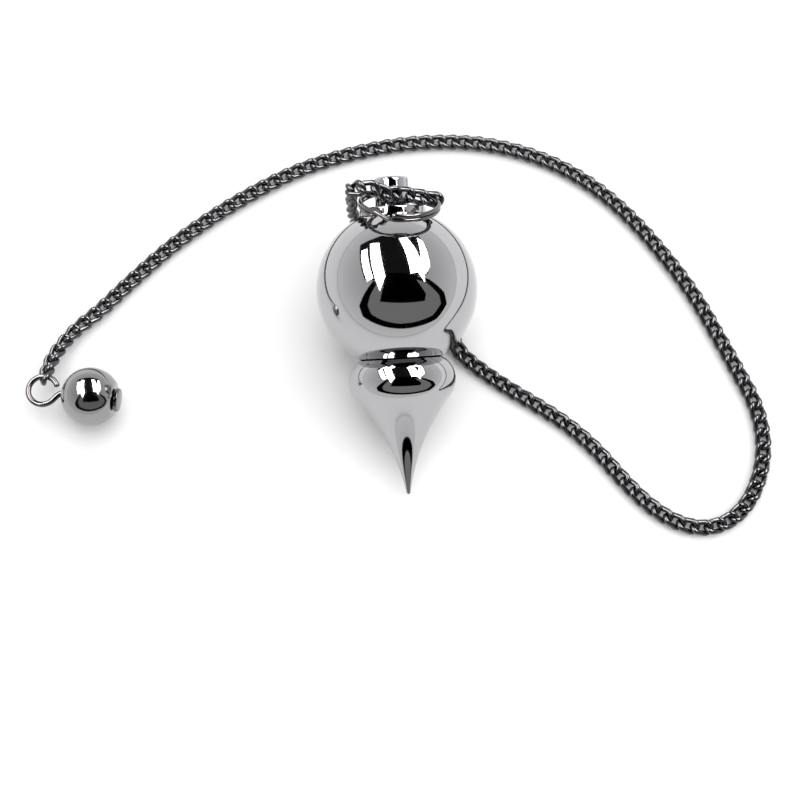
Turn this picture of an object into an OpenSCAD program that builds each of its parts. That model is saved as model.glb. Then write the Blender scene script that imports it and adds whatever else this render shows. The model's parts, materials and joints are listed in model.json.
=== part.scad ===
// Plumb bob with a ball body and a turned point, on a split ring and a curb chain
// with a small ball at its free end. Everything lies on a flat table (z = 0) and
// the bob rests on its ball and on the shoulder of its point.

/* [Ball] */
// Diameter of the body ball
ball_d = 20; // [16:0.5:26]

/* [Top cap] */
// Diameter of the flange that seats on the ball
flange_d = 8.2; // [7:0.2:10]
// Thickness of the flange at its rim
flange_t = 0.9; // [0.5:0.1:2]
// Diameter of the stub above the flange
stub_d = 4.3; // [3.8:0.1:6]
// Height of the stub above the flange
stub_h = 3.8; // [3.2:0.1:6]
// Edge rounding at the top of the stub
stub_round = 0.5; // [0.1:0.1:0.8]
// Diameter of the cross-hole through the stub
hole_d = 2; // [1.9:0.1:2.4]
// Height of the cross-hole's centre above the flange
hole_h = 2.1; // [1.5:0.1:3]
// Turn of the cap about its own axis
cap_roll = 12; // [0:1:30]

/* [Point] */
// Diameter of the point's top edge, where it meets the ball
neck_d = 10.4; // [8:0.2:12]
// Largest diameter of the round shoulder
shoulder_d = 13.4; // [12:0.2:16]
// Radius of the round shoulder
shoulder_r = 3.2; // [2.4:0.1:4]
// Radius of the hollow flank
flank_r = 25; // [15:1:60]
// Length of the point from its top edge to its tip
point_len = 16.8; // [13:0.2:22]
// Diameter of the blunt tip
tip_d = 0.5; // [0.3:0.1:1]
// Width of the dark groove between the ball and the point
groove_w = 0.3; // [0.1:0.1:0.8]

/* [Studs and sockets] */
// Diameter of the studs that hold the cap and the point in the ball
stud_d = 4; // [2.5:0.5:5]
// Length of the studs
stud_len = 5; // [3:0.5:6]
// Clearance around a stud, on the radius
stud_gap = 0.05; // [0.03:0.01:0.2]
// Free depth below a stud
stud_relief = 0.6; // [0.3:0.1:1.5]

/* [Split ring] */
// Outside diameter of the split ring
ring_d = 10; // [9:0.5:14]
// Wire diameter of the split ring
ring_wire = 0.5; // [0.4:0.05:0.7]
// Gap between its two coils
coil_gap = 0.03; // [0.02:0.01:0.1]
// Fold of the ring forwards from the bob's axis
ring_fold = 116; // [104:1:120]
// Turn of the ring about the bob's axis
ring_roll = 11; // [0:1:25]
// Where the wire crosses from one coil to the other, around the ring
ring_cross_at = 128; // [40:1:140]

/* [Chain] */
// Pitch of the chain
pitch = 1.75; // [1.6:0.05:2.1]
// Wire diameter of a link
link_wire = 0.42; // [0.36:0.02:0.5]
// Mean radius of a link's round ends
link_r = 0.94; // [0.8:0.01:1.0]
// Turn of each link about the chain, to alternate sides
link_tilt = 30; // [24:1:36]
// Play between two hooked links
link_play = 0.12; // [0.04:0.01:0.15]

/* [End ball] */
// Diameter of the end ball
end_ball_d = 7.4; // [6:0.1:9]
// Clearance around the pin in the end ball, on the radius
bore_gap = 0.08; // [0.04:0.01:0.2]

/* [Eye pin] */
// Wire diameter of the eye pin
pin_wire = 0.72; // [0.5:0.02:0.9]
// Outside diameter of its eye
eye_d = 4.4; // [3.4:0.1:5]
// Diameter of the pin's flat head
head_d = 3; // [1.8:0.1:3.4]
// Depth of the flat on the end ball that the head sits against
flat_depth = 0.7; // [0.3:0.1:1]
// Thickness of the pin's flat head
head_t = 0.5; // [0.3:0.1:1]
// Play of the end ball along the pin
pin_play = 0.3; // [0.1:0.05:1]
// Turn of the pin on the table
pin_turn = -11; // [-20:1:10]

/* [Layout on the table] */
// Move to the middle of the whole layout, across
mid_x = -0.51; // [-5:0.01:5]
// Move to the middle of the whole layout, away
mid_y = -3.26; // [-5:0.01:8]

/* [Hidden] */
$fn = 96;

// Bob: r and s are the distance from its axis and the height along it from the ball's centre
ball_r = ball_d / 2;
flange_seat = sqrt(pow(ball_r, 2) - pow(flange_d / 2, 2));
flange_top = flange_seat + flange_t;
stub_top = flange_top + stub_h;
hole_s = flange_top + hole_h;
neck_seat = sqrt(pow(ball_r, 2) - pow(neck_d / 2, 2));
point_top = -neck_seat - groove_w / 2;
// Radius of the round hollow in the point's top, which follows the ball
seat_r = norm([neck_d / 2, point_top]);
shoulder_c = [shoulder_d / 2 - shoulder_r, 0];
// The shoulder's arc starts at the top edge
shoulder_s = point_top - sqrt(pow(shoulder_r, 2) - pow(neck_d / 2 - shoulder_c.x, 2));
tip_s = point_top - point_len;
// The flank's circle touches the shoulder's arc from outside and ends at the tip
flank_c = touching_centre([shoulder_c.x, shoulder_s], shoulder_r + flank_r, [tip_d / 2, tip_s], flank_r);
// Rest on the table: the angle by which the tip dips
reach = norm([shoulder_c.x, shoulder_s]);
dip = asin((ball_r - shoulder_r) / reach) - atan(shoulder_c.x / -shoulder_s);

// Ring
ring_r = ring_d / 2 - ring_wire / 2;
coil_off = (ring_wire + coil_gap) / 2;
cross_half = 13;
cross_end_gap = 3;

// Eye pin: its shank lies along x, the end ball's centre is its origin
eye_r = (eye_d - pin_wire) / 2;
bore_d = pin_wire + 2 * bore_gap;
bore_half = sqrt(pow(end_ball_d / 2, 2) - pow(bore_d / 2, 2));
flat_x = end_ball_d / 2 - flat_depth;
head_x = flat_x + pin_play / 2;
eye_gap = 0.12;
eye_x = -(bore_half + pin_play / 2 + eye_r + pin_wire / 2 + eye_gap);
end_ball_at = [-39.3, -9.8, end_ball_d / 2];
eye_hook = 92;

// Chain
chain_high = 2 * link_r * sin(link_tilt) + link_wire;
chain_wide = 2 * link_r * cos(link_tilt) + link_wire;
lay = chain_high / 2 + 0.03;
links_per_node = 3;

function unit(v) = v / norm(v);
// Centre of a circle of radius rb through b that lies ra from a, on the far side from the axis
function touching_centre(a, ra, b, rb) = let (
    d = norm(b - a),
    x = (pow(d, 2) + pow(ra, 2) - pow(rb, 2)) / (2 * d),
    h = sqrt(pow(ra, 2) - pow(x, 2)),
    e = (b - a) / d
) a + e * x + [-e.y, e.x] * h;

// From the bob's own frame (z along its axis) to the table
function to_table(p) = [p.x, p.y * sin(dip) + p.z * cos(dip), ball_r - p.y * cos(dip) + p.z * sin(dip)];
function turn_z(p, a) = [p.x * cos(a) - p.y * sin(a), p.x * sin(a) + p.y * cos(a), p.z];
// A point of the ring's frame: a around the ring from its right side, r from its middle, h off its plane
function ring_point(a, r, h) = let (
    q = [r * cos(a), -h, ring_r + r * sin(a)],
    f = [q.x, q.y * cos(ring_fold) - q.z * sin(ring_fold), q.y * sin(ring_fold) + q.z * cos(ring_fold)]
) to_table(turn_z(f, ring_roll) + [0, 0, hole_s]);
// A point above the bob's axis: x across, s along, h above
function over_axis(x, s, h) = to_table([x, -h, s]);
// A point on the table around the ball, in ball radii
function by_ball(x, y, z) = [x * ball_r, y * ball_r, z * ball_r];
function pin_point(p) = turn_z(p, pin_turn) + end_ball_at;

down = [0, 0, -1];
bob_up = [0, -sin(dip), cos(dip)];
hook_in = ring_r + ring_wire / 2 + link_play / 2 + 0.15;
hook_out = eye_r - pin_wire / 2 - link_play / 2 - 0.06;
over_stub = stub_d / 2 + chain_high / 2 + 0.15;
over_ring = coil_off + ring_wire / 2 + chain_high / 2 + 0.2;
eye_mid = [eye_x, 0, 0];
hook_dir = [cos(eye_hook), sin(eye_hook), 0];

// The chain's way: a point and the direction of its upper side at each
route = concat(
    [
        [ring_point(-10, hook_in, 0), [0, -0.15, 1]],
        [over_axis(0.09, flange_top + 1.44, over_stub + 0.23), [0, -0.25, 1]],
        [over_axis(-0.47, flange_top + 1.11, over_stub + 0.79), [-0.1, -0.2, 1]],
        [ring_point(204.2, ring_r - 2.57, -over_ring - 0.06), [0.10, 0, 1.43]],
        [ring_point(190.9, ring_r - 0.29, -over_ring - 0.62), [-0.81, 0, 1.38]],
        [by_ball(-0.524, 1.039, 1.693), [-1.43, 0, 0.54]],
        [by_ball(-0.485, 1.041, 1.459), [-0.79, 0, 0.71]],
        [by_ball(-0.511, 1.047, 1.190), [-1, 0, -0.1]],
        [by_ball(-0.475, 1.035, 0.823), [-1, 0, -0.1]],
        [by_ball(-0.456, 1.036, 0.629), [-1, 0, -0.2]],
        [by_ball(-0.270, 0.991, 0.444), [-1, 0, -0.4]],
        [by_ball(-0.17, 0.98, 0.11) + [0, 0, lay], [-0.5, 0, -0.9]],
        [by_ball(0.10, 0.94, 0) + [0, 0, lay + 0.05], down],
        [by_ball(0.38, 0.84, 0) + [0, 0, lay], down],
        [by_ball(0.60, 0.62, 0) + [0, 0, lay], down],
        [by_ball(0.71, 0.33, 0) + [0, 0, lay], down],
        [by_ball(0.72, 0.02, 0) + [0, 0, lay], down],
        [by_ball(0.69, -0.27, 0) + [0, 0, lay], down],
        [by_ball(0.76, -0.55, 0) + [0, 0, lay], down]
    ],
    [for (p = [
        [9.7, -7.8], [13.5, -10.9], [17.3, -13.6], [21.0, -16.5], [24.4, -20.1], [27.3, -24.0],
        [30.2, -27.3], [33.3, -29.6], [36.6, -30.6], [39.7, -30.0], [42.3, -28.0], [44.2, -25.0],
        [45.3, -21.5], [45.5, -18.0], [44.9, -14.5], [43.5, -10.8], [41.6, -6.1], [38.8, 0.4],
        [35.2, 6.6], [31.9, 11.3], [28.0, 15.6], [23.2, 19.3], [17.9, 21.9], [12.6, 23.4],
        [7.2, 24.0], [1.8, 23.9], [-5.0, 22.9], [-11.8, 21.0], [-20.0, 17.1], [-28.1, 11.9],
        [-34.4, 6.6]
    ]) [[p.x, p.y, lay], down]],
    [
        [[-38.63, 2.60, lay + 0.19], [0.26, 0, -1]],
        [[-42.06, -0.20, lay + 0.29], [0.53, 0, -1]],
        [pin_point(eye_mid + hook_dir * (hook_out + 2.90)) + [0.10, 0, -1.15], [0.28, 0, -0.79]],
        [pin_point(eye_mid + hook_dir * hook_out) + [-0.03, -0.02, 0.01], [0.57, 0, -0.81]]
    ]
);

// Curve through the route's points, with knots by distance
function knot(a, b) = sqrt(norm(b[0] - a[0]));
function mix(a, b, ta, tb, t) = a * (tb - t) / (tb - ta) + b * (t - ta) / (tb - ta);
function curve_at(p0, p1, p2, p3, u) = let (
    t1 = knot(p0, p1),
    t2 = t1 + knot(p1, p2),
    t3 = t2 + knot(p2, p3),
    t = t1 + (t2 - t1) * u,
    a1 = mix(p0[0], p1[0], 0, t1, t),
    a2 = mix(p1[0], p2[0], t1, t2, t),
    a3 = mix(p2[0], p3[0], t2, t3, t),
    b1 = mix(a1, a2, 0, t2, t),
    b2 = mix(a2, a3, t1, t3, t)
) mix(b1, b2, t1, t2, t);
function mirror_point(a, b) = [2 * a[0] - b[0], a[1]];
route_n = len(route);
framed = concat([mirror_point(route[0], route[1])], route, [mirror_point(route[route_n - 1], route[route_n - 2])]);
sub = 12;
fine_n = (route_n - 1) * sub;
fine = [for (i = [0 : fine_n]) let (
    s = min(floor(i / sub), route_n - 2),
    u = i / sub - s
) curve_at(framed[s], framed[s + 1], framed[s + 2], framed[s + 3], u)];
fine_up = [for (i = [0 : fine_n]) let (
    s = min(floor(i / sub), route_n - 2),
    u = i / sub - s
) unit(unit(route[s][1]) * (1 - u) + unit(route[s + 1][1]) * u)];
fine_s = [for (i = 0, s = 0; i <= fine_n; s = s + (i < fine_n ? norm(fine[i + 1] - fine[i]) : 0), i = i + 1) [s, i]];
way = fine_s[fine_n][0];
// An even number of links, so that the first and the last keep their sides
node_n = 2 * round(way / pitch / links_per_node / 2);
link_n = node_n * links_per_node;
// Half the distance between the centres of a link's ends, rounded so that its pieces meet exactly
link_c = round(((way / link_n + link_wire + link_play) / 2 - link_r) * 1000) / 1000;
function pick(list, i) = let (
    f = min(floor(i), fine_n - 1)
) list[f] * (f + 1 - i) + list[f + 1] * (i - f);
// Hooking points of the links, evenly along the way, and the upper side at each
hooks = [for (k = [0 : link_n]) pick(fine, lookup(way * k / link_n, fine_s))];
sides = [for (k = [0 : link_n]) pick(fine_up, lookup(way * k / link_n, fine_s))];

function two(n) = str(n < 10 ? "0" : "", n);
CHAIN = [for (i = [1 : node_n]) str("chain_", two(i))];

module on_table() {
    translate([-mid_x, -mid_y, 0])
        children();
}

module bob_frame() {
    on_table()
        translate([0, 0, ball_r])
            rotate([dip - 90, 0, 0])
                children();
}

module ring_frame() {
    bob_frame()
        translate([0, 0, hole_s])
            rotate([0, 0, ring_roll])
                rotate([ring_fold, 0, 0])
                    translate([0, 0, ring_r])
                        rotate([90, 0, 0])
                            children();
}

module pin_frame() {
    on_table()
        translate(end_ball_at)
            rotate([0, 0, pin_turn])
                children();
}

module top_cap() {
    color([0.62, 0.62, 0.63])
    bob_frame()
        rotate([0, 0, cap_roll])
            difference() {
                union() {
                    rotate_extrude()
                        difference() {
                            union() {
                                translate([0, flange_seat - 0.8])
                                    square([flange_d / 2, 0.8 + flange_t]);
                                square([stub_d / 2, stub_top - stub_round]);
                                square([stub_d / 2 - stub_round, stub_top]);
                                translate([stub_d / 2 - stub_round, stub_top - stub_round])
                                    circle(r = stub_round);
                            }
                            circle(r = ball_r + 0.02);
                        }
                    translate([0, 0, ball_r + 0.02 - stud_len])
                        cylinder(d = stud_d, h = stud_len + 0.5);
                }
                translate([0, 0, hole_s])
                    rotate([0, 90, 0])
                        cylinder(d = hole_d, h = stub_d * 2, center = true);
            }
}

module bob_ball() {
    color([0.68, 0.68, 0.69])
    bob_frame()
        difference() {
            sphere(r = ball_r);
            translate([0, 0, ball_r - stud_len - stud_relief])
                cylinder(r = stud_d / 2 + stud_gap, h = stud_len * 2);
            translate([0, 0, -ball_r * 2])
                cylinder(r = stud_d / 2 + stud_gap, h = ball_r * 2 - neck_seat + stud_len + stud_relief);
        }
}

module point() {
    color([0.60, 0.60, 0.61])
    bob_frame()
        union() {
            rotate_extrude()
                difference() {
                    union() {
                        translate([shoulder_c.x, shoulder_s])
                            circle(r = shoulder_r);
                        polygon([
                            [0, point_top], [neck_d / 2, point_top], [shoulder_c.x + shoulder_r * 0.6, shoulder_s],
                            tangent_pt, [tip_d / 2, tip_s], [0, tip_s]
                        ]);
                    }
                    translate(flank_c)
                        circle(r = flank_r, $fn = 360);
                    translate([-ball_r, point_top])
                        square([ball_r * 3, ball_r * 2]);
                    circle(r = seat_r);
                    translate([-ball_r, -ball_r * 4])
                        square([ball_r, ball_r * 8]);
                }
            translate([0, 0, -seat_r - 0.5])
                cylinder(d = stud_d, h = seat_r + 0.5 + point_top + stud_len);
        }
}
tangent_pt = [shoulder_c.x, shoulder_s] + unit(flank_c - [shoulder_c.x, shoulder_s]) * shoulder_r;

module ring_coil(from, to, side) {
    translate([0, 0, side * coil_off])
        rotate_extrude(start = from, angle = to - from)
            translate([ring_r, 0])
                circle(d = ring_wire, $fn = 32);
}

module split_ring() {
    a = [ring_r * cos(-cross_half), ring_r * sin(-cross_half), coil_off];
    b = [ring_r * cos(cross_half), ring_r * sin(cross_half), -coil_off];
    color([0.66, 0.66, 0.67])
    ring_frame()
        rotate([0, 0, ring_cross_at])
            union() {
                ring_coil(cross_half + cross_end_gap, 360 - cross_half, 1);
                ring_coil(cross_half, 360 - cross_half - cross_end_gap, -1);
                rod(a, b, ring_wire * 0.94);
                translate(a)
                    sphere(d = ring_wire * 1.05, $fn = 32);
                translate(b)
                    sphere(d = ring_wire * 1.05, $fn = 32);
            }
}

// Round rod from a to b
module rod(a, b, d) {
    v = b - a;
    translate(a)
        rotate([0, acos(v.z / norm(v)), atan2(v.y, v.x)])
            cylinder(d = d, h = norm(v), $fn = 32);
}

module link() {
    union() {
        for (m = [0, 1])
            rotate([0, 0, m * 180]) {
                translate([link_c, 0, 0])
                    rotate_extrude(start = -90, angle = 180, $fn = 32)
                        translate([link_r, 0])
                            circle(d = link_wire, $fn = 16);
                translate([-link_c, link_r, 0])
                    rotate([0, 90, 0])
                        cylinder(d = link_wire, h = 2 * link_c, $fn = 16);
            }
    }
}

module placed_link(k) {
    t = unit(hooks[k + 1] - hooks[k]);
    w = unit(cross(sides[k] + sides[k + 1], t));
    n = cross(t, w);
    m = (hooks[k] + hooks[k + 1]) / 2;
    multmatrix([
        [t.x, w.x, n.x, m.x],
        [t.y, w.y, n.y, m.y],
        [t.z, w.z, n.z, m.z],
        [0, 0, 0, 1]
    ])
        rotate([k % 2 == 0 ? -link_tilt : link_tilt, 0, 0])
            link();
}

module chain_piece(i) {
    color([0.64, 0.64, 0.65])
    on_table()
        for (j = [0 : links_per_node - 1])
            placed_link(i * links_per_node + j);
}

module eye_pin() {
    color([0.66, 0.66, 0.67])
    pin_frame()
        union() {
            translate([eye_x, 0, 0])
                rotate_extrude(start = 14, angle = 346)
                    translate([eye_r, 0])
                        circle(d = pin_wire, $fn = 32);
            rod([eye_x + eye_r, 0, 0], [head_x + head_t / 2, 0, 0], pin_wire);
            translate([eye_x + eye_r, 0, 0])
                sphere(d = pin_wire * 1.05, $fn = 32);
            translate([head_x, 0, 0])
                rotate([0, 90, 0])
                    cylinder(d = head_d, h = head_t);
        }
}

module end_ball() {
    color([0.68, 0.68, 0.69])
    pin_frame()
        rotate([0, 90, 0])
            difference() {
                sphere(d = end_ball_d);
                cylinder(d = bore_d, h = end_ball_d * 2, center = true);
                translate([0, 0, flat_x])
                    cylinder(d = end_ball_d, h = end_ball_d);
            }
}

top_cap();
bob_ball();
point();
split_ring();
for (i = [0 : node_n - 1]) chain_piece(i);
eye_pin();
end_ball();
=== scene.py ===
"""Pendulum bob on a split ring and a curb chain, with a small ball on an eye pin at the chain's free end."""

import json
import math

import bmesh
import bpy
from mathutils import Matrix, Vector


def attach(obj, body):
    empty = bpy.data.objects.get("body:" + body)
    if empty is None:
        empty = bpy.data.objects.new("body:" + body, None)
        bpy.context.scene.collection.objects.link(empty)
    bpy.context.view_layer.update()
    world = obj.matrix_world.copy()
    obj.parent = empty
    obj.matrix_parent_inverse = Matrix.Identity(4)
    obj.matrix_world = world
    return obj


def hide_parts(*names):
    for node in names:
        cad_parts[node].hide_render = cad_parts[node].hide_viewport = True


bl_info = {
    "name": "Pendulum bob and chain",
    "version": (1, 0, 0),
    "blender": (4, 5, 0),
    "location": "3D View > Sidebar > Bob",
    "description": "Builds the polished bob, its ring, chain and end ball around the packed frame",
    "category": "Object",
}

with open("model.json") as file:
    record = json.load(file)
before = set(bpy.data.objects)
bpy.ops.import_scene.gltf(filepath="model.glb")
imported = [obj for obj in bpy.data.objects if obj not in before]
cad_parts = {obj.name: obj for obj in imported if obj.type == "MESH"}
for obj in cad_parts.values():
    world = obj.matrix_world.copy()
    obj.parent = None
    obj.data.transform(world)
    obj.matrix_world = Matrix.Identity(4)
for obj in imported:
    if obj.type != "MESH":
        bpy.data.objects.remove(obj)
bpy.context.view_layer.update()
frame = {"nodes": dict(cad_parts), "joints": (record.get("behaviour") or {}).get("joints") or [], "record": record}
JOINTS = {joint["name"]: joint for joint in frame["joints"]}
MOUNTS = {mount["name"]: mount for mount in frame["record"]["mounts"]}
CHAIN_NODES = sorted(name for name in frame["nodes"] if name.startswith("chain_"))
MM = 0.001
LINKS_PER_NODE = 3
# A cap with fewer faces than this has lost its shape in the drilling
FEWEST_CAP_FACES = 500
# Vertices nearer than this, in metres, are one vertex
MERGE = 1e-7
# Sockets of a colour mix node: the factor, the two colours and the result
MIX_FACTOR, MIX_A, MIX_B, MIX_RESULT = 0, 6, 7, 2


# ---------------------------------------------------------------- sizes and colours


class BobSizes(bpy.types.PropertyGroup):
    ball_radius: bpy.props.FloatProperty(
        name="Ball radius", description="Radius of the body ball", default=10.0 * MM, unit="LENGTH"
    )
    groove: bpy.props.FloatProperty(
        name="Groove",
        description="Gap between the ball and the point's top edge",
        default=0.15 * MM,
        unit="LENGTH",
    )
    neck_radius: bpy.props.FloatProperty(
        name="Neck radius",
        description="Radius of the point's top edge",
        default=5.2 * MM,
        unit="LENGTH",
    )
    shoulder_radius: bpy.props.FloatProperty(
        name="Shoulder radius",
        description="Largest radius of the point",
        default=6.7 * MM,
        unit="LENGTH",
    )
    shoulder_round: bpy.props.FloatProperty(
        name="Shoulder rounding",
        description="Radius of the round shoulder's outline",
        default=3.2 * MM,
        unit="LENGTH",
    )
    flank_round: bpy.props.FloatProperty(
        name="Flank hollow",
        description="Radius of the hollow flank's outline",
        default=25.0 * MM,
        unit="LENGTH",
    )
    point_length: bpy.props.FloatProperty(
        name="Point length",
        description="From the point's top edge to its tip",
        default=16.8 * MM,
        unit="LENGTH",
    )
    tip_radius: bpy.props.FloatProperty(
        name="Tip radius", description="Radius of the blunt tip", default=0.25 * MM, unit="LENGTH"
    )
    stud_radius: bpy.props.FloatProperty(
        name="Stud radius",
        description="Radius of the two studs inside the ball",
        default=2.0 * MM,
        unit="LENGTH",
    )
    stud_length: bpy.props.FloatProperty(
        name="Stud length",
        description="Length of the two studs inside the ball",
        default=5.0 * MM,
        unit="LENGTH",
    )
    stud_play: bpy.props.FloatProperty(
        name="Stud play", description="Clearance around a stud", default=0.05 * MM, unit="LENGTH"
    )
    flange_radius: bpy.props.FloatProperty(
        name="Flange radius",
        description="Radius of the cap's flange",
        default=4.1 * MM,
        unit="LENGTH",
    )
    flange_height: bpy.props.FloatProperty(
        name="Flange height",
        description="Height of the flange at its rim",
        default=0.9 * MM,
        unit="LENGTH",
    )
    stub_radius: bpy.props.FloatProperty(
        name="Stub radius",
        description="Radius of the stub above the flange",
        default=2.15 * MM,
        unit="LENGTH",
    )
    stub_height: bpy.props.FloatProperty(
        name="Stub height",
        description="Height of the stub above the flange",
        default=3.8 * MM,
        unit="LENGTH",
    )
    stub_round: bpy.props.FloatProperty(
        name="Stub rounding",
        description="Rounding of the stub's top edge",
        default=0.5 * MM,
        unit="LENGTH",
    )
    hole_radius: bpy.props.FloatProperty(
        name="Hole radius",
        description="Radius of the stub's cross-hole",
        default=1.0 * MM,
        unit="LENGTH",
    )
    hole_flare: bpy.props.FloatProperty(
        name="Hole flare",
        description="Width of the worn rounding at the hole's mouths",
        default=0.14 * MM,
        unit="LENGTH",
    )


class RingSizes(bpy.types.PropertyGroup):
    mean_radius: bpy.props.FloatProperty(
        name="Mean radius",
        description="Radius of the split ring's wire line",
        default=4.75 * MM,
        unit="LENGTH",
    )
    wire_radius: bpy.props.FloatProperty(
        name="Wire radius",
        description="Radius of the split ring's wire",
        default=0.25 * MM,
        unit="LENGTH",
    )
    coil_offset: bpy.props.FloatProperty(
        name="Coil offset",
        description="Distance of each coil from the ring's middle plane",
        default=0.265 * MM,
        unit="LENGTH",
    )
    fold: bpy.props.FloatProperty(
        name="Fold",
        description="Fold of the ring from the bob's axis",
        default=math.radians(116),
        subtype="ANGLE",
    )
    crossing: bpy.props.FloatProperty(
        name="Crossing",
        description="Where the wire crosses from coil to coil",
        default=math.radians(128),
        subtype="ANGLE",
    )


class ChainSizes(bpy.types.PropertyGroup):
    end_radius: bpy.props.FloatProperty(
        name="End radius",
        description="Radius of a link's round ends, to the wire's middle",
        default=0.72 * MM,
        unit="LENGTH",
    )
    half_straight: bpy.props.FloatProperty(
        name="Half straight",
        description="Half the length of a link's straight sides",
        default=0.50 * MM,
        unit="LENGTH",
    )
    wire_radius: bpy.props.FloatProperty(
        name="Wire radius", description="Radius of a link's wire", default=0.34 * MM, unit="LENGTH"
    )
    twist: bpy.props.FloatProperty(
        name="Twist",
        description="Twist of a link from its middle to its end",
        default=math.radians(46),
        subtype="ANGLE",
    )
    frame_tilt: bpy.props.FloatProperty(
        name="Frame tilt",
        description="Tilt of the frame's flat links about the chain",
        default=math.radians(30),
        subtype="ANGLE",
    )


class EndSizes(bpy.types.PropertyGroup):
    ball_radius: bpy.props.FloatProperty(
        name="Ball radius", description="Radius of the end ball", default=3.7 * MM, unit="LENGTH"
    )
    bore_radius: bpy.props.FloatProperty(
        name="Bore radius",
        description="Radius of the end ball's bore",
        default=0.44 * MM,
        unit="LENGTH",
    )
    eye_radius: bpy.props.FloatProperty(
        name="Eye radius",
        description="Radius of the eye, to the wire's middle",
        default=1.84 * MM,
        unit="LENGTH",
    )
    wire_radius: bpy.props.FloatProperty(
        name="Wire radius",
        description="Radius of the eye pin's wire",
        default=0.36 * MM,
        unit="LENGTH",
    )
    head_radius: bpy.props.FloatProperty(
        name="Head radius",
        description="Radius of the pin's flat head",
        default=1.5 * MM,
        unit="LENGTH",
    )
    head_height: bpy.props.FloatProperty(
        name="Head height",
        description="Thickness of the pin's flat head",
        default=0.5 * MM,
        unit="LENGTH",
    )
    flat_place: bpy.props.FloatProperty(
        name="Flat place",
        description="From the end ball's centre to the flat under the head",
        default=3.0 * MM,
        unit="LENGTH",
    )
    head_place: bpy.props.FloatProperty(
        name="Head place",
        description="From the end ball's centre to the head's underside",
        default=3.15 * MM,
        unit="LENGTH",
    )


class Finishes(bpy.types.PropertyGroup):
    polished: bpy.props.StringProperty(
        name="Polished plate", description="Colour of the mirror-polished plate", default="B0B0B2"
    )
    wire: bpy.props.StringProperty(
        name="Wire plate",
        description="Colour of the plate on the ring and the eye pin",
        default="6E6B6A",
    )
    chain: bpy.props.StringProperty(
        name="Chain plate", description="Colour of the plate on the chain's links", default="5C5C5E"
    )
    end_ball: bpy.props.StringProperty(
        name="End ball plate", description="Colour of the plate on the small ball", default="989899"
    )
    board: bpy.props.StringProperty(
        name="Board",
        description="Colour of the white board that everything lies on",
        default="F6F6F6",
    )


# ---------------------------------------------------------------- helpers


def linear(code):
    """An sRGB hex colour as linear RGBA."""
    channels = [int(code[i : i + 2], 16) / 255 for i in (0, 2, 4)]
    return tuple(c / 12.92 if c <= 0.04045 else ((c + 0.055) / 1.055) ** 2.4 for c in channels) + (1.0,)


def add_node(owner, kind, values=None, links=None, **settings):
    """Add a node to a material or a world, set its settings and input values, and link its inputs."""
    made = owner.node_tree.nodes.new(kind)
    for name, value in settings.items():
        setattr(made, name, value)
    for name, value in (values or {}).items():
        made.inputs[name].default_value = value
    for name, socket in (links or {}).items():
        owner.node_tree.links.new(socket, made.inputs[name])
    return made


def new_material(name):
    """A material with an empty node tree."""
    material = bpy.data.materials.new(name)
    material.use_nodes = True
    material.node_tree.nodes.clear()
    return material


def axes_at(origin, x, z):
    """A placing matrix from an origin, an x direction and a z direction."""
    z = z.normalized()
    x = (x - z * x.dot(z)).normalized()
    y = z.cross(x)
    return Matrix(
        (
            (x.x, y.x, z.x, origin.x),
            (x.y, y.y, z.y, origin.y),
            (x.z, y.z, z.z, origin.z),
            (0, 0, 0, 1),
        )
    )


def finish_mesh(bm, name, place, material, sharp=math.radians(38)):
    """Turn a bmesh into an object at the origin, with its place in its mesh."""
    bmesh.ops.remove_doubles(bm, verts=bm.verts, dist=MERGE)
    bmesh.ops.recalc_face_normals(bm, faces=bm.faces)
    bmesh.ops.transform(bm, matrix=place, verts=bm.verts)
    mesh = bpy.data.meshes.new(name)
    for face in bm.faces:
        face.smooth = True
    bm.to_mesh(mesh)
    bm.free()
    mesh.set_sharp_from_angle(angle=sharp)
    mesh.materials.append(material)
    piece = bpy.data.objects.new(name, mesh)
    bpy.context.scene.collection.objects.link(piece)
    return piece


def draw_outline(bm, start, moves):
    """Draw an outline in the x-z plane from one vertex: straight moves and turns about a centre."""
    tip = bm.verts.new((start[0], 0, start[1]))
    for move in moves:
        if move[0] == "to":
            made = bmesh.ops.extrude_vert_indiv(bm, verts=[tip])
            tip = made["verts"][0]
            tip.co = (move[1], 0, move[2])
        else:
            _, centre, angle, steps = move
            made = bmesh.ops.spin(
                bm, geom=[tip], cent=(centre[0], 0, centre[1]), axis=(0, -1, 0), angle=angle, steps=steps
            )
            tip = [v for v in made["geom_last"] if isinstance(v, bmesh.types.BMVert)][0]


def turned(start, moves, steps=128):
    """A bmesh turned about the z axis from an outline."""
    bm = bmesh.new()
    draw_outline(bm, start, moves)
    bmesh.ops.spin(
        bm,
        geom=bm.verts[:] + bm.edges[:],
        cent=(0, 0, 0),
        axis=(0, 0, 1),
        angle=math.tau,
        steps=steps,
        use_merge=True,
    )
    bmesh.ops.remove_doubles(bm, verts=bm.verts, dist=MERGE)
    return bm


def angle_at(point, centre):
    """The direction of a point of the outline from a centre."""
    return math.atan2(point[1] - centre[1], point[0] - centre[0])


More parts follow.
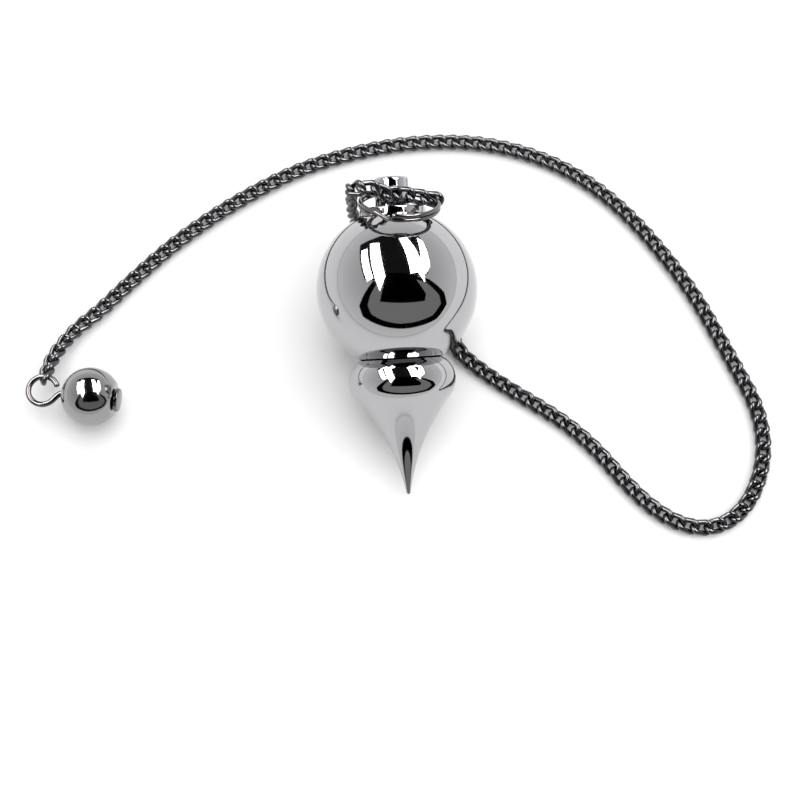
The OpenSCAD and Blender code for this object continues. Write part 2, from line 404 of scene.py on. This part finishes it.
def sweep(bm, wire, places, sides=12, closed=False, round_ends=0.0):
    """Sweep a round wire through a list of placing matrices, whose z runs along the way."""
    ring = bmesh.ops.create_circle(bm, segments=sides, radius=wire, matrix=places[0])["verts"]
    first = sorted({e for v in ring for e in v.link_edges}, key=lambda e: e.index)
    edges = first
    for before, after in zip(places, places[1:]):
        made = bmesh.ops.extrude_edge_only(bm, edges=edges)["geom"]
        verts = [g for g in made if isinstance(g, bmesh.types.BMVert)]
        edges = [e for e in made if isinstance(e, bmesh.types.BMEdge) and all(v in verts for v in e.verts)]
        bmesh.ops.transform(bm, matrix=after @ before.inverted(), verts=verts)
    if closed:
        bmesh.ops.bridge_loops(bm, edges=first + edges)
        return
    for loop, place, side in ((first, places[0], -1), (edges, places[-1], 1)):
        cap = bmesh.ops.contextual_create(bm, geom=loop)["faces"]
        if round_ends and cap:
            # Two steps inwards, the first with most of the rise
            for rise in (0.7, 0.3):
                bmesh.ops.inset_region(
                    bm, faces=cap, thickness=round_ends * 0.5, depth=0, use_even_offset=True
                )
                shift = place.to_3x3() @ Vector((0, 0, side * round_ends * rise))
                bmesh.ops.translate(bm, verts=[v for f in cap for v in f.verts], vec=shift)


def along(points, normal):
    """Placing matrices for a sweep: z along the way, x held near one normal."""
    last = len(points) - 1
    return [
        axes_at(point, normal, points[min(i + 1, last)] - points[max(i - 1, 0)])
        for i, point in enumerate(points)
    ]


def bob_place():
    """The bob's own frame: z along its axis towards the stub, x across."""
    joint = JOINTS["ball_turn"]
    return axes_at(Vector(joint["pos_m"]), Vector(JOINTS["ring_swing"]["axis"]), Vector(joint["axis"]))


def pin_place():
    """The end ball's frame: z along the pin from its eye to its head, x up."""
    joint = JOINTS["end_ball_turn"]
    return axes_at(Vector(joint["pos_m"]), Vector((0, 0, 1)), Vector(joint["axis"]))


# ---------------------------------------------------------------- finishes


def plated_metal(name, colour, roughness, wear, hairline):
    """Nickel plate over polished brass, darkened: a grey metal with a mirror surface.

    Polishing leaves hairlines about 0.03 mm wide, drawn here 0.15 mm wide so that they show,
    and handling leaves faint cloudy patches a few millimetres across.
    """
    material = new_material(name)
    where = add_node(material, "ShaderNodeTexCoord")
    patches = add_node(
        material,
        "ShaderNodeTexNoise",
        values={"Scale": 1 / (3.0 * MM), "Detail": 4.0, "Roughness": 0.55},
        links={"Vector": where.outputs["Object"]},
    )
    turn = add_node(
        material,
        "ShaderNodeMapping",
        values={"Rotation": (0.4, 0.9, 0.3), "Scale": (1.0, 0.06, 1.0)},
        links={"Vector": where.outputs["Object"]},
    )
    lines = add_node(
        material,
        "ShaderNodeTexNoise",
        values={"Scale": 1 / (0.15 * MM), "Detail": 2.0, "Roughness": 0.5},
        links={"Vector": turn.outputs["Vector"]},
    )
    pick = add_node(
        material,
        "ShaderNodeMapRange",
        values={"From Min": 0.62, "From Max": 0.72, "To Min": 0.0, "To Max": 1.0},
        links={"Value": lines.outputs["Fac"]},
    )
    base = linear(colour)
    dull = tuple(c * wear for c in base[:3]) + (1.0,)
    tint = add_node(
        material,
        "ShaderNodeMix",
        values={MIX_A: base, MIX_B: dull},
        links={MIX_FACTOR: patches.outputs["Fac"]},
        data_type="RGBA",
    )
    cloud = add_node(
        material,
        "ShaderNodeMapRange",
        values={"From Min": 0.35, "From Max": 0.75, "To Min": roughness, "To Max": roughness * 1.8},
        links={"Value": patches.outputs["Fac"]},
    )
    rough = add_node(
        material,
        "ShaderNodeMath",
        values={1: hairline},
        links={0: pick.outputs["Result"], 2: cloud.outputs["Result"]},
        operation="MULTIPLY_ADD",
    )
    shader = add_node(
        material,
        "ShaderNodeBsdfPrincipled",
        values={"Metallic": 1.0},
        links={"Base Color": tint.outputs[MIX_RESULT], "Roughness": rough.outputs["Value"]},
    )
    add_node(material, "ShaderNodeOutputMaterial", links={"Surface": shader.outputs["BSDF"]})
    return material


def white_board(name, colour):
    """Matte white card: flat and even, with a faint mottle a few centimetres across."""
    material = new_material(name)
    where = add_node(material, "ShaderNodeTexCoord")
    mottle = add_node(
        material,
        "ShaderNodeTexNoise",
        values={"Scale": 1 / (30 * MM), "Detail": 3.0},
        links={"Vector": where.outputs["Object"]},
    )
    base = linear(colour)
    tint = add_node(
        material,
        "ShaderNodeMix",
        values={MIX_A: base, MIX_B: tuple(c * 0.99 for c in base[:3]) + (1.0,)},
        links={MIX_FACTOR: mottle.outputs["Fac"]},
        data_type="RGBA",
    )
    shader = add_node(
        material,
        "ShaderNodeBsdfPrincipled",
        values={"Roughness": 0.95, "Specular IOR Level": 0.1},
        links={"Base Color": tint.outputs[MIX_RESULT]},
    )
    add_node(material, "ShaderNodeOutputMaterial", links={"Surface": shader.outputs["BSDF"]})
    return material


def glow(name, strength):
    """A card of the light tent that only mirrors see: black cloth at 0, a lamp above 1."""
    material = new_material(name)
    shader = add_node(material, "ShaderNodeEmission", values={"Color": (1, 1, 1, 1), "Strength": strength})
    add_node(material, "ShaderNodeOutputMaterial", links={"Surface": shader.outputs["Emission"]})
    return material


FINISH_CACHE = {}


def finish(name):
    """The material of one finish, made once."""
    if name not in FINISH_CACHE:
        colours = bpy.context.scene.bob_finishes
        # Colour, roughness, wear and hairlines of each plated finish
        plates = {
            "mirror_nickel_plate": (colours.polished, 0.035, 0.97, 0.03),
            "bright_nickel_on_wire": (colours.wire, 0.09, 0.86, 0.08),
            "bright_nickel_on_links": (colours.chain, 0.13, 0.80, 0.08),
            "mirror_nickel_on_end_ball": (colours.end_ball, 0.06, 0.94, 0.05),
        }
        FINISH_CACHE[name] = plated_metal(name, *plates[name])
    return FINISH_CACHE[name]


def settle(piece, body, slot, *nodes):
    """Fix a finished piece to its body and hide the frame's nodes it stands for; the slot is not used."""
    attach(piece, body)
    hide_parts(*nodes)


# ---------------------------------------------------------------- operators


class BOB_OT_ball(bpy.types.Operator):
    """Turn the body ball with its two sockets"""

    bl_idname = "bob.ball"
    bl_label = "Body ball"

    def execute(self, context):
        s = context.scene.bob_sizes
        socket = s.stud_radius + s.stud_play
        # Room left below a stud's end
        relief = 0.6 * MM
        mouth = math.acos(socket / s.ball_radius)
        neck_seat = math.sqrt(s.ball_radius**2 - s.neck_radius**2)
        top_floor = s.ball_radius - s.stud_length - relief
        low_floor = -(neck_seat - s.stud_length - relief)
        rim = s.ball_radius * math.sin(mouth)
        bm = turned(
            (0, low_floor),
            [
                ("to", socket, low_floor),
                ("to", socket, -rim),
                ("turn", (0, 0), 2 * mouth, 96),
                ("to", socket, top_floor),
                ("to", 0, top_floor),
            ],
            steps=160,
        )
        piece = finish_mesh(bm, "body_ball", bob_place(), finish("mirror_nickel_plate"))
        settle(piece, "bob_ball", "polished_plate", "bob_ball")
        return {"FINISHED"}


class BOB_OT_point(bpy.types.Operator):
    """Turn the point: stud, groove edge, round shoulder, hollow flank and blunt tip"""

    bl_idname = "bob.point"
    bl_label = "Point"

    def execute(self, context):
        s = context.scene.bob_sizes
        top = -math.sqrt(s.ball_radius**2 - s.neck_radius**2) - s.groove
        shoulder_x = s.shoulder_radius - s.shoulder_round
        shoulder_z = top - math.sqrt(s.shoulder_round**2 - (s.neck_radius - shoulder_x) ** 2)
        tip = top - s.point_length
        # The flank's circle touches the shoulder's from outside and passes through the tip
        shoulder = Vector((shoulder_x, shoulder_z))
        span = Vector((s.tip_radius, tip)) - shoulder
        reach, bulge = s.shoulder_round + s.flank_round, s.flank_round
        foot = (span.length**2 + reach**2 - bulge**2) / (2 * span.length)
        rise = math.sqrt(reach**2 - foot**2)
        unit = span.normalized()
        flank = shoulder + unit * foot + Vector((-unit.y, unit.x)) * rise
        touch = shoulder + (flank - shoulder).normalized() * s.shoulder_round
        edge = 0.08 * MM
        chamfer = 0.2 * MM
        round_from = math.asin((top - edge - shoulder_z) / s.shoulder_round)
        start_x = shoulder_x + s.shoulder_round * math.cos(round_from)
        round_to = angle_at(touch, (shoulder_x, shoulder_z))
        hollow_from = angle_at(touch, flank)
        hollow_to = angle_at((s.tip_radius, tip), flank)
        sweep_back = (hollow_to - hollow_from + math.pi) % math.tau - math.pi
        # The top is hollowed to follow the ball
        seat = math.hypot(s.neck_radius, top)
        hollow = math.asin(s.stud_radius / seat)
        rim_x = start_x - edge
        bm = turned(
            (0, top + s.stud_length),
            [
                ("to", s.stud_radius - chamfer, top + s.stud_length),
                ("to", s.stud_radius, top + s.stud_length - chamfer),
                ("to", s.stud_radius, -seat * math.cos(hollow)),
                ("turn", (0, 0), math.asin((rim_x - 0.02 * MM) / seat) - hollow, 16),
                ("to", rim_x, top),
                ("to", start_x, top - edge),
                ("turn", (shoulder_x, shoulder_z), round_to - round_from, 40),
                ("turn", (flank.x, flank.y), sweep_back, 48),
                ("to", s.tip_radius * 0.6, tip - 0.12 * MM),
                ("to", 0, tip - 0.16 * MM),
            ],
            steps=128,
        )
        piece = finish_mesh(bm, "turned_point", bob_place(), finish("mirror_nickel_plate"))
        settle(piece, "point", "polished_plate", "point")
        return {"FINISHED"}


class BOB_OT_cap(bpy.types.Operator):
    """Turn the top cap and drill its cross-hole with worn mouths"""

    bl_idname = "bob.cap"
    bl_label = "Top cap"

    def execute(self, context):
        s = context.scene.bob_sizes
        seat = s.ball_radius + 0.02 * MM
        flange_top = math.sqrt(s.ball_radius**2 - s.flange_radius**2) + s.flange_height
        stub_top = flange_top + s.stub_height
        rim, fillet, chamfer = 0.22 * MM, 0.18 * MM, 0.2 * MM
        from_angle = math.acos(s.stud_radius / seat)
        to_angle = math.acos(s.flange_radius / seat)
        body = turned(
            (0, seat - s.stud_length),
            [
                ("to", s.stud_radius - chamfer, seat - s.stud_length),
                ("to", s.stud_radius, seat - s.stud_length + chamfer),
                ("to", s.stud_radius, seat * math.sin(from_angle)),
                ("turn", (0, 0), to_angle - from_angle, 8),
                ("to", s.flange_radius, flange_top - rim),
                ("turn", (s.flange_radius - rim, flange_top - rim), math.pi / 2, 6),
                ("to", s.stub_radius + fillet, flange_top),
                ("turn", (s.stub_radius + fillet, flange_top + fillet), -math.pi / 2, 5),
                ("to", s.stub_radius, flange_top + 0.45 * s.stub_height),
                ("to", s.stub_radius, stub_top - s.stub_round),
                ("turn", (s.stub_radius - s.stub_round, stub_top - s.stub_round), math.pi / 2, 8),
                ("to", 0, stub_top),
            ],
        )
        piece = finish_mesh(body, "top_cap_and_stub", Matrix.Identity(4), finish("mirror_nickel_plate"))
        # The drill: a straight bore that flares at both mouths
        r, flare, half = s.hole_radius, s.hole_flare, s.stub_radius
        drill = turned(
            (0, -half * 1.5),
            [
                ("to", r + flare * 4, -half * 1.5),
                ("to", r + flare, -half + flare),
                ("to", r + flare * 0.3, -half + flare * 2.2),
                ("to", r, -half + flare * 4),
                ("to", r, half - flare * 4),
                ("to", r + flare * 0.3, half - flare * 2.2),
                ("to", r + flare, half - flare),
                ("to", r + flare * 4, half * 1.5),
                ("to", 0, half * 1.5),
            ],
            steps=48,
        )
        hole = bob_place().inverted() @ Vector(JOINTS["ring_swing"]["pos_m"])
        cutter = finish_mesh(
            drill, "drill", axes_at(hole, Vector((0, 0, 1)), Vector((1, 0, 0))), finish("mirror_nickel_plate")
        )
        cut = piece.modifiers.new("cross_hole", "BOOLEAN")
        cut.operation = "DIFFERENCE"
        cut.solver = "EXACT"
        cut.object = cutter
        context.view_layer.update()
        drilled = bpy.data.meshes.new_from_object(piece.evaluated_get(context.evaluated_depsgraph_get()))
        piece.modifiers.clear()
        bpy.data.objects.remove(cutter)
        drilled.transform(bob_place())
        drilled.set_sharp_from_angle(angle=math.radians(30))
        piece.data = drilled
        if len(drilled.polygons) < FEWEST_CAP_FACES:
            raise RuntimeError("the cap's cross-hole wasn't cut")
        settle(piece, "top_cap", "polished_plate", "top_cap")
        return {"FINISHED"}


class BOB_OT_ring(bpy.types.Operator):
    """Wind the split ring: two coils of round wire and the crossing between them"""

    bl_idname = "bob.ring"
    bl_label = "Split ring"

    def execute(self, context):
        s = context.scene.bob_ring
        joint = JOINTS["ring_swing"]
        across = Vector(joint["axis"]).normalized()
        axis = Vector(JOINTS["ball_turn"]["axis"]).normalized()
        side = axis.cross(across)
        out = side * -math.sin(s.fold) + axis * math.cos(s.fold)
        flat = -(side * math.cos(s.fold) + axis * math.sin(s.fold))
        centre = Vector(joint["pos_m"]) + out * s.mean_radius
        # The crossing's half width, and how far from its middle the two ends of the wire stop
        half = math.radians(13)
        end_gap = math.radians(16)
        start, stop = end_gap, 2 * math.tau - end_gap
        steps = 150
        points = []
        for i in range(steps + 1):
            angle = start + (stop - start) * i / steps
            t = min(1.0, max(0.0, (angle - (math.tau - half)) / (2 * half)))
            lift = s.coil_offset * (1 - 2 * t * t * (3 - 2 * t))
            a = angle + s.crossing
            points.append(centre + (across * math.cos(a) + out * math.sin(a)) * s.mean_radius + flat * lift)
        bm = bmesh.new()
        sweep(bm, s.wire_radius, along(points, flat), sides=16, round_ends=0.06 * MM)
        piece = finish_mesh(bm, "split_ring_wire", Matrix.Identity(4), finish("bright_nickel_on_wire"))
        settle(piece, "split_ring", "wire_plate", "split_ring")
        return {"FINISHED"}


def link_template(sizes):
    """One twisted curb link, closed, with x along the chain and z up."""
    straight, radius = sizes.half_straight, sizes.end_radius
    steps = 8
    corners = []
    for side in (1, -1):
        for i in range(steps + 1):
            angle = math.radians(-90 + 180 * i / steps)
            x, y = straight + radius * math.cos(angle), radius * math.sin(angle)
            corners.append(Vector((side * x, side * y, 0)))
    points = []
    for corner in corners:
        turn = sizes.twist * corner.x / (straight + radius)
        points.append(Matrix.Rotation(turn, 3, "X") @ corner)
    places = []
    count = len(points)
    for i, point in enumerate(points):
        way = points[(i + 1) % count] - points[i - 1]
        turn = sizes.twist * corners[i].x / (straight + radius)
        places.append(axes_at(point, Matrix.Rotation(turn, 3, "X") @ Vector((0, 0, 1)), way))
    bm = bmesh.new()
    sweep(bm, sizes.wire_radius, places, sides=8, closed=True)
    bmesh.ops.recalc_face_normals(bm, faces=bm.faces)
    return bm


def loose_parts(node):
    """The vertex places of each separate link in a frame node."""
    bm = bmesh.new()
    bm.from_mesh(node.data)
    bmesh.ops.remove_doubles(bm, verts=bm.verts, dist=MERGE)
    left = set(bm.verts)
    parts = []
    while left:
        stack = [left.pop()]
        part = []
        while stack:
            vert = stack.pop()
            part.append(vert.co.copy())
            for edge in vert.link_edges:
                other = edge.other_vert(vert)
                if other in left:
                    left.remove(other)
                    stack.append(other)
        parts.append(part)
    bm.free()
    return parts


def flat_and_long(part):
    """The middle, the thinnest and the longest direction of a flat link."""
    middle = sum(part, Vector()) / len(part)
    spread = Matrix(((0, 0, 0), (0, 0, 0), (0, 0, 0)))
    for point in part:
        d = point - middle
        for i in range(3):
            for j in range(3):
                spread[i][j] += d[i] * d[j]
    scale = spread[0][0] + spread[1][1] + spread[2][2]
    spread = spread * (1 / scale)
    # Repeated products settle on a direction from any start that isn't square to it
    rounds = 120
    longest = Vector((0.3, 0.5, 0.8))
    for _ in range(rounds):
        longest = (spread @ longest).normalized()
    rest = Matrix([[(1.0 if i == j else 0.0) - spread[i][j] for j in range(3)] for i in range(3)])
    thinnest = Vector((0.2, -0.6, 0.7))
    for _ in range(rounds):
        thinnest = (rest @ thinnest).normalized()
    return middle, thinnest, longest


class BOB_OT_chain(bpy.types.Operator):
    """Lay twisted curb links where the frame's flat links lie"""

    bl_idname = "bob.chain"
    bl_label = "Curb chain"

    def execute(self, context):
        s = context.scene.bob_chain
        links = []
        for name in CHAIN_NODES:
            parts = loose_parts(frame["nodes"][name])
            if len(parts) != LINKS_PER_NODE:
                raise RuntimeError(f"{name} has {len(parts)} links, not {LINKS_PER_NODE}")
            links.append([flat_and_long(part) for part in parts])
        # Put each node's links in order along the chain
        at = Vector(JOINTS["swing_01"]["pos_m"])
        ordered = []
        for name, group in zip(CHAIN_NODES, links):
            group = sorted(group, key=lambda link: (link[0] - at).length)
            at = group[-1][0]
            ordered.extend((name, link) for link in group)
        template = link_template(s)
        up = None
        made = {name: bmesh.new() for name in CHAIN_NODES}
        for k, (name, (middle, thin, way)) in enumerate(ordered):
            before = ordered[max(0, k - 1)][1][0]
            after = ordered[min(len(ordered) - 1, k + 1)][1][0]
            if way.dot(after - before) < 0:
                way = -way
            back = s.frame_tilt if k % 2 == 0 else -s.frame_tilt
            flat = Matrix.Rotation(back, 3, way) @ thin
            if up is not None and flat.dot(up) < 0:
                flat = -flat
            up = flat
            copy = template.copy()
            bmesh.ops.transform(copy, matrix=axes_at(middle, way, flat), verts=copy.verts)
            scratch = bpy.data.meshes.new("link")
            copy.to_mesh(scratch)
            made[name].from_mesh(scratch)
            bpy.data.meshes.remove(scratch)
            copy.free()
        template.free()
        for name, bm in made.items():
            piece = finish_mesh(
                bm,
                "curb_links_" + name[-2:],
                Matrix.Identity(4),
                finish("bright_nickel_on_links"),
                sharp=math.radians(75),
            )
            settle(piece, name, "chain_plate", name)
        return {"FINISHED"}


class BOB_OT_end(bpy.types.Operator):
    """Bend the eye pin with its flat head, and turn the end ball on it"""

    bl_idname = "bob.end"
    bl_label = "Eye pin and end ball"

    def execute(self, context):
        s = context.scene.bob_end
        place = pin_place()
        centre = Vector(JOINTS["end_ball_turn"]["pos_m"])
        shank = Vector(JOINTS["end_ball_turn"]["axis"]).normalized()
        eye = Vector(MOUNTS["grip_eye"]["pos_m"])
        up = Vector((0, 0, 1))
        side = up.cross(shank)
        # The loop, from its free end beside the shank to where it bends back
        free_end, leave = math.radians(26), math.radians(328)
        loop_steps, bend_steps, shank_steps = 36, 10, 8
        points = []
        for i in range(loop_steps + 1):
            angle = free_end + (leave - free_end) * i / loop_steps
            points.append(eye + (shank * math.cos(angle) + side * math.sin(angle)) * s.eye_radius)
        # A short bend brings the loop back onto the shank's line
        a = points[-1]
        b = a + (shank * -math.sin(leave) + side * math.cos(leave)) * 0.62 * MM
        d = eye + shank * (s.eye_radius + 0.85 * MM)
        c = d - shank * 0.45 * MM
        for i in range(1, bend_steps + 1):
            t = i / bend_steps
            points.append(a * (1 - t) ** 3 + b * (3 * t * (1 - t) ** 2) + c * (3 * t * t * (1 - t)) + d * t**3)
        end = centre + shank * (s.head_place + s.head_height / 2)
        for i in range(1, shank_steps + 1):
            points.append(d.lerp(end, i / shank_steps))
        bm = bmesh.new()
        sweep(bm, s.wire_radius, along(points, up), sides=16, round_ends=0.08 * MM)
        chamfer, head_round = 0.1 * MM, 0.16 * MM
        head_top = s.head_place + s.head_height
        head = turned(
            (0, s.head_place),
            [
                ("to", s.head_radius - chamfer, s.head_place),
                ("to", s.head_radius, s.head_place + chamfer),
                ("to", s.head_radius, head_top - head_round),
                ("turn", (s.head_radius - head_round, head_top - head_round), math.pi / 2, 5),
                ("to", 0, head_top),
            ],
            steps=48,
        )
        bmesh.ops.transform(head, matrix=place, verts=head.verts)
        scratch = bpy.data.meshes.new("head")
        head.to_mesh(scratch)
        head.free()
        bm.from_mesh(scratch)
        bpy.data.meshes.remove(scratch)
        pin = finish_mesh(bm, "eye_pin_wire", Matrix.Identity(4), finish("bright_nickel_on_wire"))
        settle(pin, "eye_pin", "wire_plate", "eye_pin")
        # The ball is broken at its edges by a narrow shelf: the bore's mouth and the flat's rim
        shelf = 0.06 * MM
        mouth = math.acos((s.bore_radius + shelf) / s.ball_radius)
        rim = s.ball_radius * math.sin(mouth)
        flat_edge = math.sqrt(s.ball_radius**2 - s.flat_place**2)
        stop = math.asin((s.flat_place - shelf) / s.ball_radius)
        ball = turned(
            (s.bore_radius, s.flat_place),
            [
                ("to", s.bore_radius, -rim + 0.1 * MM),
                ("to", s.bore_radius + shelf, -rim),
                ("turn", (0, 0), mouth + stop, 72),
                ("to", flat_edge - shelf, s.flat_place),
                ("to", s.bore_radius, s.flat_place),
            ],
            steps=96,
        )
        piece = finish_mesh(ball, "end_ball_shell", place, finish("mirror_nickel_on_end_ball"))
        settle(piece, "end_ball", "polished_plate", "end_ball")
        return {"FINISHED"}


class BOB_OT_stage(bpy.types.Operator):
    """Set the board, the light tent, the lamps and the camera"""

    bl_idname = "bob.stage"
    bl_label = "Stage"

    def execute(self, context):
        scene = context.scene
        middle = Vector(JOINTS["ball_turn"]["pos_m"])
        elevation, azimuth = math.radians(74.5), math.radians(-3.4)
        # From the ball's centre to the camera: along its view, and across and down its picture
        view_distance, view_right, view_down = 180 * MM, 0.373 * MM, 13.789 * MM
        right = Vector((math.cos(azimuth), math.sin(azimuth), 0))
        ahead = Vector((-math.sin(azimuth), math.cos(azimuth), 0))
        back = ahead * -math.cos(elevation) + Vector((0, 0, math.sin(elevation)))
        above = ahead * math.sin(elevation) + Vector((0, 0, math.cos(elevation)))
        camera_data = bpy.data.cameras.new("camera")
        camera_data.lens = 65.2
        camera_data.sensor_width = 36.0
        camera_data.clip_start = 0.01
        camera_data.clip_end = 20.0
        camera = bpy.data.objects.new("camera", camera_data)
        scene.collection.objects.link(camera)
        spot = middle + right * view_right - above * view_down + back * view_distance
        camera.matrix_world = axes_at(spot, right, back)
        scene.camera = camera
        scene.view_settings.view_transform = "Standard"

        board_gap = 0.03 * MM
        board = bmesh.new()
        bmesh.ops.create_grid(board, x_segments=8, y_segments=8, size=2.5)
        floor = finish_mesh(
            board,
            "board",
            Matrix.Translation((0, 0, -board_gap)),
            white_board("matte_white_board", scene.bob_finishes.board),
        )

        # The light tent as mirrors see it: directions (round from +Y, up from the table) of each card's
        # corners, from the bob, with its distance in metres and its brightness
        cards = (
            (
                "tent_ceiling",
                0.60,
                0.012,
                (
                    (-39, 18), (-25, 24), (-9, 26), (10, 25), (26, 21), (39, 27),
                    (65, 40), (86, 47), (100, 66), (-97, 57), (-91, 45), (-56, 32),
                ),
            ),
            (
                "tent_opening_edge",
                0.58,
                0.0,
                (
                    (-98, 56), (-110, 40), (-119, 21), (-131, 13), (-154, 14), (-180, 13),
                    (156, 10), (133, 4), (113, 6), (104, 18), (95, 46), (96, 67),
                ),
            ),
            (
                "room_beyond",
                0.56,
                0.30,
                (
                    (-108, 60), (-120, 44), (-128, 31), (-139, 24), (-156, 23), (-180, 21),
                    (155, 18), (135, 13), (118, 15), (111, 24), (103, 49), (107, 70),
                ),
            ),
            ("dark_room", 0.54, 0.0, ((-78, 75), (86, 71), (122, 42), (132, 37), (-142, 46), (-128, 64))),
            ("lamp_row_1", 0.50, 12.0, ((-45, 27), (-39, 32), (-91, 57), (-94, 48))),
            ("lamp_row_2", 0.50, 12.0, ((-31, 29), (-22, 36), (-93, 74), (-128, 58), (-93, 60))),
            ("lamp_row_3", 0.50, 12.0, ((6, 35), (16, 32), (82, 61), (104, 50), (86, 71))),
            ("lamp_row_4", 0.50, 12.0, ((27, 26), (34, 26), (72, 42), (86, 50), (80, 57))),
        )
        for name, distance, strength, corners in cards:
            bm = bmesh.new()
            ring = []
            for round_angle, up_angle in corners:
                a, e = math.radians(round_angle), math.radians(up_angle)
                way = Vector((math.sin(a) * math.cos(e), math.cos(a) * math.cos(e), math.sin(e)))
                ring.append(bm.verts.new(middle + way * distance))
            bmesh.ops.contextual_create(bm, geom=ring)
            bmesh.ops.triangulate(bm, faces=bm.faces)
            bmesh.ops.subdivide_edges(bm, edges=bm.edges, cuts=5, use_grid_fill=True)
            for vert in bm.verts:
                vert.co = middle + (vert.co - middle).normalized() * distance
            card = finish_mesh(bm, name, Matrix.Identity(4), glow(name + "_glow", strength))
            card.visible_camera = False
            card.visible_diffuse = False
            card.visible_shadow = False
            card.visible_transmission = False

        world = bpy.data.worlds.new("tent")
        scene.world = world
        world.use_nodes = True
        world.node_tree.nodes.clear()
        where = add_node(world, "ShaderNodeTexCoord")
        split = add_node(world, "ShaderNodeSeparateXYZ", links={"Vector": where.outputs["Generated"]})
        ramp = add_node(world, "ShaderNodeValToRGB", links={"Fac": split.outputs["Z"]})
        low, high = ramp.color_ramp.elements
        low.position, low.color = 0.0, (1.0, 1.0, 1.0, 1.0)
        high.position, high.color = 0.75, (0.62, 0.62, 0.62, 1.0)
        sky = add_node(
            world, "ShaderNodeBackground", values={"Strength": 1.0}, links={"Color": ramp.outputs["Color"]}
        )
        add_node(world, "ShaderNodeOutputWorld", links={"Surface": sky.outputs["Background"]})

        for name, place, size, power in (
            ("soft_lamp_above", (0.10, 0.25, 0.70), 0.8, 4.2),
            ("soft_lamp_right", (0.50, -0.10, 0.45), 0.4, 0.9),
        ):
            data = bpy.data.lights.new(name, "AREA")
            data.shape = "SQUARE"
            data.size = size
            data.energy = power
            lamp = bpy.data.objects.new(name, data)
            lamp.location = place
            lamp.rotation_euler = (middle - Vector(place)).to_track_quat("-Z", "Y").to_euler()
            lamp.visible_glossy = False
            lamp.visible_camera = False
            scene.collection.objects.link(lamp)
        return {"FINISHED"}


class BOB_PT_panel(bpy.types.Panel):
    bl_idname = "BOB_PT_panel"
    bl_label = "Pendulum bob"
    bl_space_type = "VIEW_3D"
    bl_region_type = "UI"
    bl_category = "Bob"

    def draw(self, context):
        for operator in OPERATORS:
            self.layout.operator(operator.bl_idname)
        for group in GROUPS:
            settings = getattr(context.scene, GROUPS[group])
            box = self.layout.box()
            for name in group.__annotations__:
                box.prop(settings, name)


GROUPS = {
    BobSizes: "bob_sizes",
    RingSizes: "bob_ring",
    ChainSizes: "bob_chain",
    EndSizes: "bob_end",
    Finishes: "bob_finishes",
}
OPERATORS = (BOB_OT_stage, BOB_OT_ball, BOB_OT_point, BOB_OT_cap, BOB_OT_ring, BOB_OT_chain, BOB_OT_end)


def register():
    for group, name in GROUPS.items():
        bpy.utils.register_class(group)
        setattr(bpy.types.Scene, name, bpy.props.PointerProperty(type=group))
    for operator in OPERATORS:
        bpy.utils.register_class(operator)
    bpy.utils.register_class(BOB_PT_panel)


def unregister():
    bpy.utils.unregister_class(BOB_PT_panel)
    for operator in reversed(OPERATORS):
        bpy.utils.unregister_class(operator)
    for group, name in reversed(list(GROUPS.items())):
        delattr(bpy.types.Scene, name)
        bpy.utils.unregister_class(group)


def main():
    register()
    bpy.ops.bob.stage()
    bpy.ops.bob.ball()
    bpy.ops.bob.point()
    bpy.ops.bob.cap()
    bpy.ops.bob.ring()
    bpy.ops.bob.chain()
    bpy.ops.bob.end()


if __name__ == "__main__":
    main()
